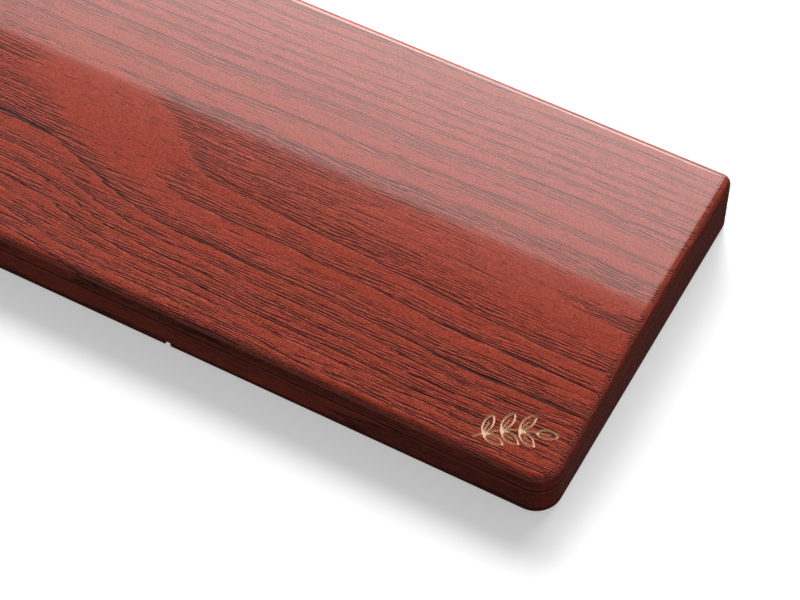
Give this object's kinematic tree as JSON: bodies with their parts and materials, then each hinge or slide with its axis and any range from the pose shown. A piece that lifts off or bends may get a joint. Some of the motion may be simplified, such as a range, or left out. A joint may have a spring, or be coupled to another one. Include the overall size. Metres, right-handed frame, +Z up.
{
  "type": "wooden keyboard wrist rest",
  "caption": "Low red-stained wooden wrist rest for a keyboard: flat at the rear, gently sloped to the front, rounded top edges, on thin anti-slip rubber soles.",
  "frame": {"origin": "on the surface the rest stands on, under the centre of its length and depth", "axes": "+X along the length to the user's right, -Y towards the user (the low sloped edge), +Y towards the keyboard, +Z up"},
  "size_m": [0.31, 0.1, 0.0187],
  "materials": {
    "stained_wood": "open-pored ash-like grain, red stain under a satin lacquer",
    "sole_rubber": "matte, very dark red-brown",
    "adhesive_film": "thin double-sided film, matte"
  },
  "bodies": {
    "root": {"upper_board": "stained_wood", "lower_board": "stained_wood", "left_sole": "sole_rubber", "middle_sole": "sole_rubber", "right_sole": "sole_rubber", "left_film": "adhesive_film", "middle_film": "adhesive_film", "right_film": "adhesive_film"}
  },
  "joints": []
}
